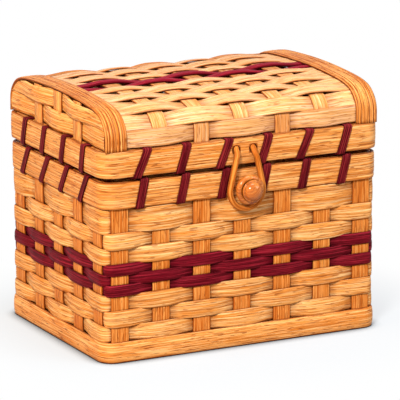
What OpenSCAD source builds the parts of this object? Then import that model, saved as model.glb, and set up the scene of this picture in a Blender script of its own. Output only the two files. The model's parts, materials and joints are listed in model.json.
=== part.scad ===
// Woven storage chest: a reed basket with a domed lid, lashed rims, a loop-and-knob clasp
// and two reed-ring hinges. Millimetres, +Z up, front towards -Y, standing on z = 0.
// A wall is described by t, the walk round it seen from above, counter-clockwise from the
// front left corner, and n, the distance outwards from the middle of the wall.

/* [Chest] */
// Width over the body's outer rim
chest_w = 182; // [170:1:200]
// Depth over the body's outer rim
chest_d = 132; // [122:1:150]
// Height of the body, to the top of its rim
body_h = 107.8; // [98:0.2:125]
// Corner radius at the middle of the wall
corner_r = 3; // [2.8:0.1:3.6]
// Length of wall that the rounded corner of a rim or of the foot band takes up
rim_corner = 5.4; // [4:0.1:5.6]
// Clearance between pieces that lie on each other
fit = 0.05; // [0.03:0.01:0.08]
// Clearance between pieces that move past each other
run = 0.3; // [0.25:0.05:0.4]

/* [Stakes] */
// Width of the body's stakes
stake_w = 11.2; // [10:0.1:12]
// Width of the lid's stakes
lid_stake_w = 9.8; // [8.5:0.1:11]
// Thickness of every stake
stake_t = 1.2; // [1:0.05:1.4]
// From the last end stake's edge to the corner of the wall
end_margin = 4.5; // [4:0.1:6]
// Width of the filler strips in the base
filler_w = 11; // [9:0.1:11.5]
// Bend radius of a stake where the base turns up into the wall
bend_r = 2; // [1.6:0.1:2.5]
// Height of the base's middle above the table
base_z = 1.7; // [1.6:0.05:2.5]

/* [Weavers] */
// Thickness of every weaver
weaver_t = 1.1; // [0.9:0.05:1.2]
// Width of the burgundy body weavers
burgundy_w = 6; // [5:0.1:7]
// Width of the top body weaver
top_row_w = 13.4; // [11:0.1:15]
// Gap between neighbouring weavers
row_gap = 0.2; // [0.1:0.05:0.4]
// Slot beside a rim that the lashing passes through
lash_slot = 1.1; // [1:0.05:1.5]

/* [Foot band] */
// Height of the foot band
foot_h = 12.3; // [10:0.1:14]
// Thickness of the foot band
foot_t = 2.4; // [2:0.1:2.6]
// How far the foot band's outer face bulges
foot_bulge = 1.3; // [0.8:0.1:1.5]

/* [Rims] */
// Height of the body's rims
rim_h = 16.2; // [15:0.1:18]
// Height of the lid's rims
lid_rim_h = 15.9; // [15:0.1:18]
// Thickness of the body's outer rim
rim_t = 2; // [1.8:0.1:2.2]
// Thickness of the lid's outer rim
lid_rim_t = 2.6; // [2.4:0.1:2.8]
// Thickness of both inner rims
inner_rim_t = 1.6; // [1.4:0.05:1.7]
// Seam between the body's rim and the lid's rim
seam = 1.9; // [1.8:0.05:2.4]
// Width of the lashing, measured along the rim
lash_w = 6.2; // [5.5:0.1:6.3]
// Thickness of the lashing
lash_t = 0.7; // [0.6:0.05:0.75]
// How far the body's lashing leans to each side of the middle of its gap
lash_lean = 2.1; // [1:0.1:3.2]
// How far the lid's lashing leans to each side of the middle of its gap
lid_lash_lean = 3; // [1:0.1:3.2]

/* [Lid] */
// Width of the burgundy lid weavers, gap included
lid_burgundy_pitch = 6.4; // [5.5:0.1:7]
// Gap between neighbouring lid weavers
lid_row_gap = 0.6; // [0.55:0.05:0.8]
// Height of the lower gable weaver
gable_row_h = 11.4; // [9:0.1:12]
// Width of the bands along the lid's two curved edges
band_w = 14; // [12:0.1:16]
// Thickness of the edge bands
band_t = 1.6; // [1.2:0.1:1.8]
// How far the edge bands reach past the middle of the gable
band_over = 1; // [0.5:0.1:2]
// Radius of the edge bands' outer face where the lid turns over
band_round = 10; // [6:0.5:11]

/* [Clasp] */
// How far the knob sits below the middle of the body rim
knob_drop = 3.6; // [0:0.1:3.8]
// Radius of the knob's flange
flange_r = 8.9; // [8:0.1:9]
// Thickness of the knob's flange
flange_t = 4; // [3.5:0.1:4.2]
// Radius of the knob's head
head_r = 6.5; // [6:0.1:6.9]
// Height of the knob's head above its neck
head_h = 5.2; // [4.6:0.1:5.6]
// Radius of the knob's stem
stem_r = 4; // [3.4:0.1:4.5]
// Length of the narrow neck between the flange and the head
neck_h = 0.6; // [0.4:0.1:0.8]
// Radius of the knob screw's shank
screw_r = 1.5; // [1.2:0.1:1.6]
// Length of the knob screw inside the knob
screw_grip = 9; // [7:0.5:10]
// Radius of the loop's round reed
loop_r = 1.65; // [1.5:0.05:1.7]
// Half the distance between the loop's two holes
loop_hole_x = 5.6; // [5:0.1:6]
// Radius of the loop's holes
loop_hole_r = 2.6; // [2.5:0.05:2.7]
// Height of the loop's holes above the lid rim's lower edge
loop_hole_up = 9.4; // [9:0.1:9.8]

/* [Hinge rings] */
// Radius of a hinge ring at the middle of its reed
ring_R = 8.5; // [8.3:0.1:8.8]
// Radius of a hinge ring's reed
ring_r = 1.3; // [1.1:0.05:1.35]
// From the middle of a stake gap to the hinge ring in it
ring_shift = 5.9; // [5.8:0.05:6]

/* [Hidden] */
$fn = 48;
NATURAL = "#e2ac63";
RIM = "#cf9148";
BURGUNDY = "#7c1730";
TURNED = "#bd7a35";
STEEL = "#9a9a9c";

// Stakes along the front and back, and along the ends
front_stakes = 7;
end_stakes = 5;
// Weavers in the body, and in half the lid
body_rows = 9;
half_rows = 8;
lid_rows = 2 * half_rows;
// Slope of each lid weaver's flat from the rim to the crown, in degrees
row_slopes = [90, 48, 14, 5, 3.5, 2.5, 1.5, 0];
// The middle cross stake has the knob's screw in its front leg
screw_stake = (front_stakes + 1) / 2;
// Burgundy body weavers, in the middle of the wall
burgundy_rows = 3;
// Stake gaps on the back that hold the hinge rings, counted in the walk
ring_gaps = [1, 4];
// Flat that a weaver keeps past a stake's edge, and points on each of its waves
lap = 0.3;
wave_steps = 6;
corner_steps = 8;
// How far a stake stops short of the edge of the rims that hold it
stake_short = 0.5;

// Half sizes of the middle of the wall, and where the walk's sides start
wall_x = chest_w / 2 - rim_t - fit - stake_t / 2;
wall_y = chest_d / 2 - rim_t - fit - stake_t / 2;
side_len = [2 * wall_x, 2 * wall_y, 2 * wall_x, 2 * wall_y];
side_start = [0, 2 * wall_x, 2 * wall_x + 2 * wall_y, 4 * wall_x + 2 * wall_y];
walk = 4 * (wall_x + wall_y);
side_corner = [[-wall_x, -wall_y], [wall_x, -wall_y], [wall_x, wall_y], [-wall_x, wall_y]];
side_dir = [[1, 0], [0, 1], [-1, 0], [0, -1]];
side_out = [[0, -1], [1, 0], [0, 1], [-1, 0]];
side_stakes = [front_stakes, end_stakes, front_stakes, end_stakes];

// Stake pitches and places
pitch_x = 2 * (wall_x - corner_r - stake_w / 2) / (front_stakes - 1);
pitch_y = 2 * (wall_y - end_margin - stake_w / 2) / (end_stakes - 1);
side_pitch = [pitch_x, pitch_y, pitch_x, pitch_y];
stake_ts = [for (k = [0 : 3]) for (i = [0 : side_stakes[k] - 1])
    side_start[k] + side_len[k] / 2 + (i - (side_stakes[k] - 1) / 2) * side_pitch[k]];
gap_ts = [for (k = [0 : 3]) for (i = [0 : side_stakes[k] - 2])
    side_start[k] + side_len[k] / 2 + (i - (side_stakes[k] - 2) / 2) * side_pitch[k]];
function stake_x(i) = (i - (front_stakes + 1) / 2) * pitch_x;
function stake_y(j) = (j - (end_stakes + 1) / 2) * pitch_y;

// Layers of the wall, as distances from its middle
face_n = stake_t / 2 + fit;
weave_n = (stake_t + weaver_t) / 2 + fit;
bulge_n = weave_n + weaver_t / 2;
rim_out_n = face_n + rim_t;
lid_rim_out_n = face_n + lid_rim_t;
rim_in_n = -face_n - inner_rim_t;
lash_n = fit + lash_t;
// Length of wall that the inside of an inner rim's corner takes up
inner_corner = corner_r + inner_rim_t;

// Heights: the plain weavers share what the other rows leave of the wall
rim_top = body_h;
rim_z = rim_top - rim_h;
rows_h = rim_z - lash_slot - foot_h - body_rows * row_gap;
plain_w = (rows_h - top_row_w - burgundy_rows * burgundy_w) / (body_rows - 1 - burgundy_rows);
lid_rim_z = rim_top + seam;
lid_rim_top = lid_rim_z + lid_rim_h;
lid_weave_z = lid_rim_top + lash_slot;
function is_burgundy(k) = abs(k - (body_rows + 1) / 2) < burgundy_rows / 2;
function row_w(k) = k == body_rows ? top_row_w : is_burgundy(k) ? burgundy_w : plain_w;
function row_z(k) = k == 1 ? foot_h + row_gap : row_z(k - 1) + row_w(k - 1) + row_gap;

// Base: lengthwise strips are the long stakes with fillers between them
base_n = (stake_t + fit) / 2;
strip_count = 2 * end_stakes - 1;
function strip_y(j) = (j - (strip_count + 1) / 2) * pitch_y / 2;
function strip_w(j) = j % 2 == 1 ? stake_w : filler_w;
function crossing(i, j) = (i + j) % 2 == 0 ? 1 : -1;

// Lid profile from the front rim to the crown: one flat for each weaver
lid_pitch = (wall_y - lid_burgundy_pitch) / sum_cos(half_rows - 2);
function sum_cos(i) = i < 0 ? 0 : cos(row_slopes[i]) + sum_cos(i - 1);
function lid_row_pitch(i) = i == half_rows ? lid_burgundy_pitch : lid_pitch;
function lid_point(i) = i == 0 ? [-wall_y, lid_weave_z]
    : lid_point(i - 1) + lid_row_pitch(i) * [cos(row_slopes[i - 1]), sin(row_slopes[i - 1])];
half_profile = [for (i = [0 : half_rows]) lid_point(i)];
function flip(p) = [-p[0], p[1]];
// Bends of the profile, without its straight crown and the ends on the rim
profile_bends = concat(
    [for (i = [1 : half_rows - 1]) half_profile[i]],
    [for (i = [half_rows - 1 : -1 : 1]) flip(half_profile[i])]);
function profile_from(z) = concat([[-wall_y, z]], profile_bends, [[wall_y, z]]);
band_out_x = wall_x + band_over;
band_in_x = band_out_x - band_w;
lid_row_end = wall_x - bulge_n - run;
edge_stake_n = weaver_t / 2 + fit;

// Hinge axis: just outside the lashing, at the height of the lid lashing's lower side
hinge_n = lid_rim_out_n + lash_n - run;
hinge_z = lid_rim_z - lash_n - fit;
hinge_y = wall_y + hinge_n;
ring_xs = [for (g = ring_gaps)
    -(gap_ts[front_stakes + end_stakes - 2 + g] - side_start[2] - wall_x) + ring_shift];

// Clasp: the loop hangs clear of the lashing, and swings about its two holes
knob_z = rim_z + rim_h / 2 - knob_drop;
loop_z = lid_rim_z + loop_hole_up;
loop_out = lash_n + run + loop_r;
stem_h = lid_rim_out_n - rim_out_n + loop_out + loop_r + run;
flange_front = stem_h + flange_t;
knob_h = flange_front + neck_h + head_h;
loop_bend_r = flange_r + run + loop_r;
flange_reach = flange_front + rim_out_n - lid_rim_out_n;
loop_drop = sqrt(pow(loop_z - knob_z + flange_r, 2) + pow(flange_reach, 2) - pow(loop_out, 2))
    + run - flange_r - run;
tangent_a = atan2(loop_drop, loop_hole_x)
    - acos(loop_bend_r / norm([loop_hole_x, loop_drop]));
tangent_at = [loop_bend_r * cos(tangent_a), loop_bend_r * sin(tangent_a) - loop_drop];

// The part's origin is under the middle of its box: the knob and the rings reach unequally
front_reach = wall_y + rim_out_n + fit + knob_h;
back_reach = hinge_y + ring_R + ring_r;
origin_y = (front_reach - back_reach) / 2;

// Paths and outlines

function mix(a, b, f) = a + (b - a) * f;
function ease(f) = (1 - cos(180 * f)) / 2;

// A path of flats [from, to, level] joined by smooth waves
function wave_path(flats, steps) = [for (i = [0 : len(flats) - 1]) each concat(
    [[flats[i][0], flats[i][2]], [flats[i][1], flats[i][2]]],
    i == len(flats) - 1 ? [] : [for (s = [1 : steps]) let (f = s / (steps + 1))
        [mix(flats[i][1], flats[i + 1][0], f), mix(flats[i][2], flats[i + 1][2], ease(f))]])];

// A point on the wall at walk t and offset n, its corners rounded over a length a each way
function corner_point(k, turn, n, a) = side_corner[k] + (side_dir[k] - side_out[k]) * a
    + (a + n) * (side_out[k] * sin(turn) - side_dir[k] * cos(turn));
function wall_point(t, n, a) =
    let (w = ((t % walk) + walk) % walk,
        k = w < side_start[1] ? 0 : w < side_start[2] ? 1 : w < side_start[3] ? 2 : 3,
        u = w - side_start[k],
        left = side_len[k] - u)
    u < a ? corner_point(k, 45 + 45 * u / a, n, a)
    : left < a ? corner_point((k + 1) % 4, 45 - 45 * left / a, n, a)
    : side_corner[k] + side_dir[k] * u + side_out[k] * n;

// The wall's outline at offset n, with corners that take up a length a of wall each way
function wall_outline(n, a) = [for (k = [0 : 3]) for (s = [0 : corner_steps])
    wall_point(side_start[k] + a * (2 * s / corner_steps - 1), n, a)];

module ring_shape(outer, inner) {
    count = len(outer);
    polygon(concat(outer, inner), [[for (i = [0 : count - 1]) i], [for (i = [0 : len(inner) - 1]) count + i]]);
}

// A strip's outline: a path of levels, thickened equally up and down
function level_strip(path, thick) = concat(
    [for (p = path) [p[0], p[1] - thick / 2]],
    [for (i = [len(path) - 1 : -1 : 0]) [path[i][0], path[i][1] + thick / 2]]);

// A bent path moved sideways by d, with mitred corners
function unit(v) = v / norm(v);
function left_of(v) = [-v[1], v[0]];
function offset_path(path, d) = [for (i = [0 : len(path) - 1]) let (
    before = unit(path[max(i, 1)] - path[max(i, 1) - 1]),
    after = unit(path[min(i + 1, len(path) - 1)] - path[min(i + 1, len(path) - 1) - 1]),
    side = unit(left_of(before + after)))
    path[i] + side * d / (side * left_of(before))];
function reversed(list) = [for (i = [len(list) - 1 : -1 : 0]) list[i]];
function bent_strip(path, low, high) = concat(offset_path(path, low), reversed(offset_path(path, high)));
// A bent path with every corner rounded to radius r
function rounded(path, r) = [for (i = [0 : len(path) - 1])
    each i == 0 || i == len(path) - 1 ? [path[i]] : let (
        before = unit(path[i] - path[i - 1]),
        after = unit(path[i + 1] - path[i]),
        turn = acos(min(1, before * after)),
        start = path[i] - before * r * tan(turn / 2),
        centre = start - left_of(before) * r)
        [for (s = [0 : corner_steps]) let (a = turn * s / corner_steps)
            centre + r * (left_of(before) * cos(a) + before * sin(a))]];

// Moves the whole part so that its origin is under the middle of its box
module placed() translate([0, origin_y, 0]) children();
// Turns an outline in (Y, Z) into a prism along X, and one in (X, Z) into a prism along Y
module along_x(width) rotate([90, 0, 90]) linear_extrude(width, center = true) children();
module along_y(width) rotate([90, 0, 0]) linear_extrude(width, center = true) children();

// Body

// A profile in (n, z) swept round the wall, its corners rounded over a length a each way
module wall_sweep(a) {
    for (k = [0 : 3]) {
        end = side_corner[(k + 1) % 4] - side_dir[k] * a;
        centre = side_corner[k] + (side_dir[k] - side_out[k]) * a;
        translate([end[0], end[1], 0]) rotate([90, 0, 90 * k - 90])
            linear_extrude(side_len[k] - 2 * a) children();
        translate([centre[0], centre[1], 0]) rotate([0, 0, 90 * k - 180])
            rotate_extrude(angle = 90) translate([a, 0]) children();
    }
}

module foot_profile() {
    bulge_R = (pow(foot_h / 2, 2) + pow(foot_bulge, 2)) / (2 * foot_bulge);
    intersection() {
        translate([0, 0]) square([face_n + foot_t, foot_h]);
        translate([face_n + foot_t - bulge_R, foot_h / 2]) circle(bulge_R, $fn = 96);
    }
}

module foot_band() color(RIM) placed() difference() {
    wall_sweep(rim_corner) foot_profile();
    translate([0, 0, -1]) linear_extrude(foot_h + 2) polygon(wall_outline(face_n, corner_r));
}

// A strip bent up at both ends into the walls: the base's levels, then two legs
function bend_arc(x, z, r, from, to) = [for (s = [0 : 4]) let (a = mix(from, to, s / 4))
    [x + r * cos(a), z + r * sin(a)]];
function upturned(path, half, top) = let (
    thick = stake_t / 2,
    z0 = path[0][1] + bend_r,
    z1 = path[len(path) - 1][1] + bend_r,
    x = half - bend_r)
    concat(
        [[-half - thick, top]],
        bend_arc(-x, z0, bend_r + thick, 180, 270),
        [for (p = path) [p[0], p[1] - thick]],
        bend_arc(x, z1, bend_r + thick, 270, 360),
        [[half + thick, top], [half - thick, top]],
        bend_arc(x, z1, bend_r - thick, 360, 270),
        [for (p = reversed(path)) [p[0], p[1] + thick]],
        bend_arc(-x, z0, bend_r - thick, 270, 180),
        [[-half + thick, top]]);

// A cross stake runs down the front, under the base and up the back
module cross_stake(i) {
    path = wave_path([for (j = [1 : strip_count]) let (half = strip_w(j) / 2 + lap)
        [strip_y(j) - half, strip_y(j) + half, base_z + base_n * crossing(i, j)]], 0);
    color(NATURAL) placed() difference() {
        translate([stake_x(i), 0, 0]) along_x(stake_w)
            polygon(upturned(path, wall_y, rim_top - stake_short));
        if (i == screw_stake) screw_hole();
    }
}

function lengthwise_path(j) = wave_path([for (i = [1 : front_stakes])
    [stake_x(i) - stake_w / 2 - lap, stake_x(i) + stake_w / 2 + lap,
        base_z - base_n * crossing(i, j)]], wave_steps);

// A long stake runs down one end, along the base and up the other end
module long_stake(j) color(NATURAL) placed() translate([0, stake_y(j), 0]) along_y(stake_w)
    polygon(upturned(lengthwise_path(2 * j - 1), wall_x, rim_top - stake_short));

// Filler strips close the base between the long stakes
module base_fillers() color(NATURAL) placed() for (j = [2 : 2 : strip_count - 1])
    translate([0, strip_y(j), 0]) along_y(filler_w) polygon(level_strip(lengthwise_path(j), stake_t));

// One row of weaving: a ring that passes over one stake and under the next
module side_weaver(k) {
    half = stake_w / 2 + lap;
    count = len(stake_ts);
    flats = [for (i = [0 : count]) let (t = stake_ts[i % count] + (i == count ? walk : 0))
        [t - half, t + half, (i + k) % 2 == 0 ? weave_n : -weave_n]];
    path = wave_path(flats, wave_steps);
    ring = [for (i = [0 : len(path) - 3]) path[i]];
    color(is_burgundy(k) ? BURGUNDY : NATURAL) placed() translate([0, 0, row_z(k)])
        linear_extrude(row_w(k)) ring_shape(
            [for (p = ring) wall_point(p[0], p[1] + weaver_t / 2, corner_r)],
            [for (p = ring) wall_point(p[0], p[1] - weaver_t / 2, corner_r)]);
}

// A rim's strip from offset low to offset high, with a corner length for each of its faces
module rim_ring(low, high, low_corner, high_corner, z, height) translate([0, 0, z]) linear_extrude(height)
    ring_shape(wall_outline(high, high_corner), wall_outline(low, low_corner));
module outer_rim(high, z, height) rim_ring(face_n, high, corner_r, rim_corner, z, height);
module inner_rim(z, height) rim_ring(rim_in_n, -face_n, inner_corner, corner_r, z, height);

// Channels that a hinge ring runs in
module ring_channels() for (x = ring_xs) hinge_torus(x, ring_r + run);
module hinge_torus(x, r) translate([x, hinge_y, hinge_z]) rotate([0, 90, 0])
    rotate_extrude() translate([ring_R, 0]) circle(r);

// The knob's screw hole through the front of the body, countersunk on the inside
module screw_hole() translate([0, -wall_y, knob_z]) rotate([90, 0, 0])
    translate([0, 0, rim_in_n]) countersunk(screw_r + fit, face_n + rim_t - rim_in_n + fit);
module countersunk(r, length) {
    head = inner_rim_t;
    cylinder(head, r + head, r);
    translate([0, 0, head - fit]) cylinder(length - head + fit, r, r);
}

module body_rim_outer() color(RIM) placed() difference() {
    outer_rim(rim_out_n, rim_z, rim_h);
    ring_channels();
    screw_hole();
}

module body_rim_inner() color(RIM) placed() difference() {
    inner_rim(rim_z, rim_h);
    ring_channels();
    screw_hole();
}

// Lashing: one strip that winds round both rims, once in every gap between stakes.
// A turn is [t, n, z] of the face on the rim, then n and z of the outer face.
lash_corner = inner_corner + 1.4;
lash_steps = 14;
function lash_turns(out_n, low, high, lean, drift) = let (
    no = out_n + fit, ni = rim_in_n - fit, zb = low - fit, zt = high + fit, last = len(gap_ts) - 1)
    [for (k = [0 : last]) let (
        g = gap_ts[k],
        next = k == last ? gap_ts[0] + walk : gap_ts[k + 1],
        from = g + lean + lash_t,
        to = next - lean - drift,
        steps = next - g > 1.2 * max(pitch_x, pitch_y) ? lash_steps : 1)
        each concat(
            [[g - lean, no, zb, no + lash_t, zb - lash_t],
                [g + lean, no, zt, no + lash_t, zt + lash_t]],
            [for (s = [0 : steps]) let (f = s / steps)
                [mix(from, to, f), ni, mix(zt, zb, f), ni - lash_t, mix(zt + lash_t, zb - lash_t, f)]])];
function lash_point(t, n, z) = let (p = wall_point(t, n, n < 0 ? lash_corner : corner_r)) [p[0], p[1], z];

module lashing(turns) {
    count = len(turns);
    points = [for (s = turns) each [
        lash_point(s[0] - lash_w / 2, s[1], s[2]),
        lash_point(s[0] + lash_w / 2, s[1], s[2]),
        lash_point(s[0] + lash_w / 2, s[3], s[4]),
        lash_point(s[0] - lash_w / 2, s[3], s[4])]];
    faces = [for (i = [0 : count - 1]) for (c = [0 : 3]) let (
        a = 4 * i + c,
        b = 4 * i + (c + 1) % 4,
        d = 4 * ((i + 1) % count) + c,
        e = 4 * ((i + 1) % count) + (c + 1) % 4)
        each [[a, b, e], [a, e, d]]];
    polyhedron(points, faces);
}

module body_rim_lashing() color(BURGUNDY) placed()
    lashing(lash_turns(rim_out_n, rim_z, rim_top, lash_lean, lash_t));

module hinge_ring(x) color(TURNED) placed() hinge_torus(x, ring_r);

// Knob: a turned piece on the front of the body's rim, drawn here along its axis
module knob() {
    edge = flange_t / 2;
    seat_r = stem_r + 0.4;
    neck_r = head_r - 1.4;
    head_z = flange_front + neck_h;
    step_z = head_z + 0.35 * head_h;
    outline = concat(
        [[0, 0], [seat_r, 0], [seat_r, edge / 2], [stem_r, edge], [stem_r, stem_h]],
        [for (a = [-90 : 15 : 90]) [flange_r - edge + edge * cos(a), stem_h + edge + edge * sin(a)]],
        [[neck_r, flange_front], [neck_r, head_z], [head_r - 0.4, head_z], [head_r, head_z + 0.5],
            [head_r, step_z - 0.3], [head_r - 0.4, step_z], [head_r - 1, step_z]],
        [for (a = [0 : 15 : 90]) [(head_r - 1) * cos(a), step_z + 0.65 * head_h * sin(a)]]);
    color(TURNED) placed() difference() {
        translate([0, -wall_y - rim_out_n - fit, knob_z]) rotate([90, 0, 0]) rotate_extrude() polygon(outline);
        translate([0, -wall_y, knob_z]) rotate([90, 0, 0]) cylinder(rim_out_n + screw_grip + fit, r = screw_r + fit);
    }
}

module knob_screw() color(STEEL) placed() translate([0, -wall_y, knob_z]) rotate([90, 0, 0])
    translate([0, 0, rim_in_n + fit]) countersunk(screw_r, rim_out_n - rim_in_n + screw_grip - fit);

// Lid

module lid_rim_outer() color(RIM) placed() difference() {
    outer_rim(lid_rim_out_n, lid_rim_z, lid_rim_h);
    ring_channels();
    for (x = [-loop_hole_x, loop_hole_x]) translate([x, -wall_y - face_n + fit, loop_z])
        rotate([90, 0, 0]) cylinder(lid_rim_t + 1, r = loop_hole_r);
}

module lid_rim_inner() color(RIM) placed() difference() {
    inner_rim(lid_rim_z, lid_rim_h);
    ring_channels();
}

// The lid's lashing drifts further along under its rim, where no stake is in the way
module lid_rim_lashing() color(BURGUNDY) placed()
    lashing(lash_turns(lid_rim_out_n, lid_rim_z, lid_rim_top, lid_lash_lean, lash_w + run));

// Lid stakes run from the front rim over the crown to the back rim
module lid_stakes() color(NATURAL) placed() for (i = [2 : front_stakes - 1])
    translate([stake_x(i), 0, 0]) along_x(lid_stake_w)
        polygon(bent_strip(profile_from(lid_rim_z + stake_short), -stake_t / 2, stake_t / 2));

// Edge stakes lie under the weavers' ends, the edge bands over them
edge_stake_w = lid_row_end - band_in_x;
module lid_edge_stakes() color(NATURAL) placed() for (side = [-1, 1])
    translate([side * (band_in_x + edge_stake_w / 2), 0, 0]) along_x(edge_stake_w)
        polygon(bent_strip(profile_from(lid_rim_top + lash_n + fit),
            -edge_stake_n - stake_t, -edge_stake_n));

module edge_band(side) color(RIM) placed() translate([side * (band_out_x - band_w / 2), 0, 0]) along_x(band_w)
    polygon(concat(
        offset_path(profile_from(lid_rim_top + fit), edge_stake_n),
        reversed(rounded(offset_path(profile_from(lid_rim_top + fit), edge_stake_n + band_t), band_round))));

// A lid weaver lies flat on its own stretch of the profile, and its ends lie level
// between the edge stakes and the edge bands
module lid_strip(i, odd) {
    half = lid_stake_w / 2 + lap;
    flats = concat(
        [[-lid_row_end, -band_in_x + lap, 0]],
        [for (s = [2 : front_stakes - 1])
            [stake_x(s) - half, stake_x(s) + half, (s % 2 == 0) == odd ? weave_n : -weave_n]],
        [[band_in_x - lap, lid_row_end, 0]]);
    slope = row_slopes[i - 1];
    end = half_profile[i] - lid_row_gap / 2 * [cos(slope), sin(slope)];
    translate([0, end[0], end[1]]) rotate([90 + slope, 0, 0])
        linear_extrude(lid_row_pitch(i) - lid_row_gap)
            polygon(level_strip(wave_path(flats, wave_steps), weaver_t));
}

module lid_weaver(r) {
    odd = r % 2 == 1;
    color(r == half_rows || r == half_rows + 1 ? BURGUNDY : NATURAL) placed() {
        if (r <= half_rows) lid_strip(r, odd);
        else mirror([0, 1, 0]) lid_strip(lid_rows + 1 - r, odd);
    }
}

// Gables: three stakes and two weavers at each end, under the edge band
gable_ys = [-pitch_y, 0, pitch_y];
module under_band() along_x(2 * chest_w)
    polygon(offset_path(profile_from(lid_rim_z), edge_stake_n - 2 * fit));

module gable_stakes(side) color(NATURAL) placed() intersection() {
    for (y = gable_ys) translate([side * wall_x, y, lid_rim_z + stake_short + chest_d / 2])
        cube([stake_t, lid_stake_w, chest_d], center = true);
    under_band();
}

module gable_row(side, z, height, sign) {
    half = lid_stake_w / 2 + lap;
    rest = gable_ys[2] + pitch_y / 2 + half;
    path = wave_path(concat(
        [[-wall_y - face_n, -rest, 0]],
        [for (i = [0 : 2]) [gable_ys[i] - half, gable_ys[i] + half, (i == 1 ? sign : -sign) * weave_n]],
        [[rest, wall_y + face_n, 0]]), wave_steps);
    translate([0, 0, z]) linear_extrude(height)
        polygon([for (p = level_strip(path, weaver_t)) [side * (wall_x + p[1]), p[0]]]);
}

module gable_weavers(side) color(NATURAL) placed() intersection() {
    union() {
        gable_row(side, lid_weave_z, gable_row_h, 1);
        gable_row(side, lid_weave_z + gable_row_h + row_gap, chest_d, -1);
    }
    under_band();
}

// Clasp loop: round reed from one hole, down round the knob's stem and up to the other hole.
// Its points are (x, outwards, up) from the middle of the holes.
root_steps = 5;
bend_steps = 24;
tube_sides = 10;
function loop_x(z) = mix(loop_hole_x, tangent_at[0], z / tangent_at[1]);
loop_root = [for (s = [0 : root_steps]) let (f = s / root_steps, z = -2 * loop_out * f)
    [loop_x(z), loop_out * (2 * f - f * f), z]];
loop_bend = [for (s = [0 : bend_steps]) let (a = mix(tangent_a, -180 - tangent_a, s / bend_steps))
    [loop_bend_r * cos(a), loop_out, loop_bend_r * sin(a) - loop_drop]];
loop_path = concat(loop_root, loop_bend, [for (p = reversed(loop_root)) [-p[0], p[1], p[2]]]);

module tube(path, r, sides) {
    last = len(path) - 1;
    points = [for (i = [0 : last]) let (
        ahead = unit(path[min(i + 1, last)] - path[max(i - 1, 0)]),
        across = unit(cross([0, 1, 0], ahead)),
        over = cross(ahead, across))
        for (s = [0 : sides - 1]) let (a = 360 * s / sides)
            path[i] + r * (across * cos(a) + over * sin(a))];
    walls = [for (i = [0 : last - 1]) for (s = [0 : sides - 1]) let (
        a = i * sides + s,
        b = i * sides + (s + 1) % sides)
        each [[a, a + sides, b + sides], [a, b + sides, b]]];
    ends = [[for (s = [0 : sides - 1]) s], [for (s = [sides - 1 : -1 : 0]) last * sides + s]];
    polyhedron(points, concat(walls, ends));
}

module clasp_loop() color(TURNED) placed() translate([0, -wall_y - lid_rim_out_n, loop_z])
    tube([for (p = loop_path) [p[0], -p[1], p[2]]], loop_r, tube_sides);

foot_band();
base_fillers();
for (i = [1 : front_stakes]) cross_stake(i);
for (j = [1 : end_stakes]) long_stake(j);
for (k = [1 : body_rows]) side_weaver(k);
body_rim_outer();
body_rim_inner();
body_rim_lashing();
knob();
knob_screw();
hinge_ring(min(ring_xs));  // hinge_ring_left
hinge_ring(max(ring_xs));  // hinge_ring_right
lid_rim_outer();
lid_rim_inner();
lid_rim_lashing();
lid_stakes();
lid_edge_stakes();
for (r = [1 : lid_rows]) lid_weaver(r);
gable_stakes(-1);  // gable_stakes_left
gable_stakes(1);  // gable_stakes_right
gable_weavers(-1);  // gable_weavers_left
gable_weavers(1);  // gable_weavers_right
edge_band(-1);  // edge_band_left
edge_band(1);  // edge_band_right
clasp_loop();
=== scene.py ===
import json
import math
import random

import bpy
import numpy as np
from mathutils import Matrix, Vector


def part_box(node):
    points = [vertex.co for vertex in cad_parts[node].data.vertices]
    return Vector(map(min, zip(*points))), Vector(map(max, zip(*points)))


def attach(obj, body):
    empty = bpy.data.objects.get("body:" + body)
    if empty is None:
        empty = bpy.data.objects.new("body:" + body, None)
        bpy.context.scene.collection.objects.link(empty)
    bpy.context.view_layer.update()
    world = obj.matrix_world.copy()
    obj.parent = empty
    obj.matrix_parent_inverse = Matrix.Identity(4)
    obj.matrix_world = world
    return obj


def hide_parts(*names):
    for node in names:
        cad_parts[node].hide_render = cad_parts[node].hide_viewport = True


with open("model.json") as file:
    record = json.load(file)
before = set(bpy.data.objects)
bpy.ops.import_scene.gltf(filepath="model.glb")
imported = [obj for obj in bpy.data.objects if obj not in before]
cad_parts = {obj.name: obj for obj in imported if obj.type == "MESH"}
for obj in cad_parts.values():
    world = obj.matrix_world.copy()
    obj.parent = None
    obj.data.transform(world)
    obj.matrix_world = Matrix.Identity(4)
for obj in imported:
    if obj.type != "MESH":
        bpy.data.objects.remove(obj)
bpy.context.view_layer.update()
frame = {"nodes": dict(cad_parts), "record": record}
rng = random.Random(41)

# Sizes, read from the frame in millimetres. The chest's own middle lies at y = 0 here, and
# every mesh is moved by SHIFT_Y when it is made.
MM = 1000.0


def box(node):
    low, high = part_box(node)
    return np.array(low) * MM, np.array(high) * MM


def ends(node, axis):
    return [corner[axis] for corner in box(node)]


def span(node, axis):
    low, high = ends(node, axis)
    return high - low


def centre(node, axis):
    return sum(ends(node, axis)) / 2


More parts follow.
